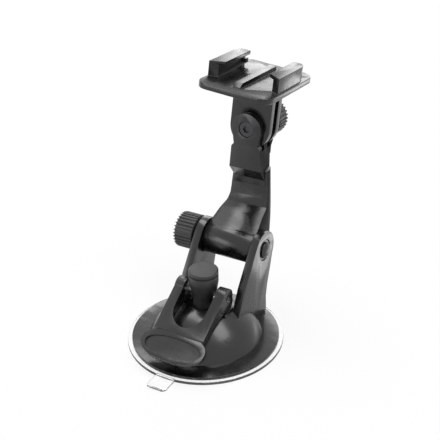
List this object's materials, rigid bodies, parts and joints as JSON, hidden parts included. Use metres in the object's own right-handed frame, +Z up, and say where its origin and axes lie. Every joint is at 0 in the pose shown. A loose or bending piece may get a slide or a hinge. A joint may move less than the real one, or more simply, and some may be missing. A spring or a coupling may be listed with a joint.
{
  "type": "suction mount for a small in-vehicle camera",
  "caption": "Windscreen suction mount: lever-locked suction base with a yoke, a cranked tilting arm and a hinged slide-in quick-release plate.",
  "frame": {"origin": "centre of the suction pad's underside", "axes": "+Z up from the pad; X along the lower hinge with its bolt head at +X; -Y towards the locking lever"},
  "size_m": [0.082, 0.1312, 0.1377],
  "materials": {
    "clear_rubber": "clear soft pad, smooth",
    "black_gloss": "moulded black, glossy",
    "black_satin": "moulded black, satin",
    "steel": "zinc plated",
    "black_steel": "black plated",
    "brass": "turned"
  },
  "bodies": {
    "base": {"suction_pad": "clear_rubber", "base_disc": "black_gloss", "dome_housing": "black_gloss", "dome_screws": "steel", "return_spring": "steel", "lower_bolt": "black_steel", "lower_bolt_washer": "black_steel", "lower_knob_washer": "black_steel"},
    "post": {"lift_post": "black_satin", "post_cap": "black_satin", "lift_plate": "steel", "lever_pin": "steel"},
    "lever": {"cam_lever": "black_gloss"},
    "arm": {"arm": "black_gloss", "upper_bolt": "black_steel", "upper_knob_washer": "black_steel"},
    "lower_knob": {"lower_knob": "black_satin", "lower_knob_insert": "brass"},
    "plate": {"quick_release_plate": "black_gloss"},
    "upper_knob": {"upper_knob": "black_satin", "upper_knob_insert": "brass"}
  },
  "joints": [
    {"name": "post_lift", "type": "slide", "parent": "base", "child": "post", "axis": [0, 0, 1], "range_m": [-0.0026, 0], "deforming": ["return_spring"]},
    {"name": "lever_hinge", "type": "hinge", "parent": "post", "child": "lever", "pos_m": [0, 0, 0.0276], "axis": [-1, 0, 0], "range_deg": [0, 95]},
    {"name": "arm_tilt", "type": "hinge", "parent": "base", "child": "arm", "pos_m": [0, 0.0318, 0.0415], "axis": [-1, 0, 0], "range_deg": [-90, 75]},
    {"name": "lower_knob_spin", "type": "hinge", "parent": "base", "child": "lower_knob", "pos_m": [-0.0269, 0.0318, 0.0415], "axis": [-1, 0, 0], "continuous": true},
    {"name": "plate_tilt", "type": "hinge", "parent": "arm", "child": "plate", "pos_m": [0, 0.047, 0.1006], "axis": [0, 0.9951, -0.0993], "range_deg": [-90, 85]},
    {"name": "upper_knob_spin", "type": "hinge", "parent": "arm", "child": "upper_knob", "pos_m": [0, 0.047, 0.1006], "axis": [0, 0.9951, -0.0993], "continuous": true}
  ],
  "couplings": [
    {"joint": "post_lift", "follows": "lever_hinge", "m_per_rad": -0.0015078}
  ]
}
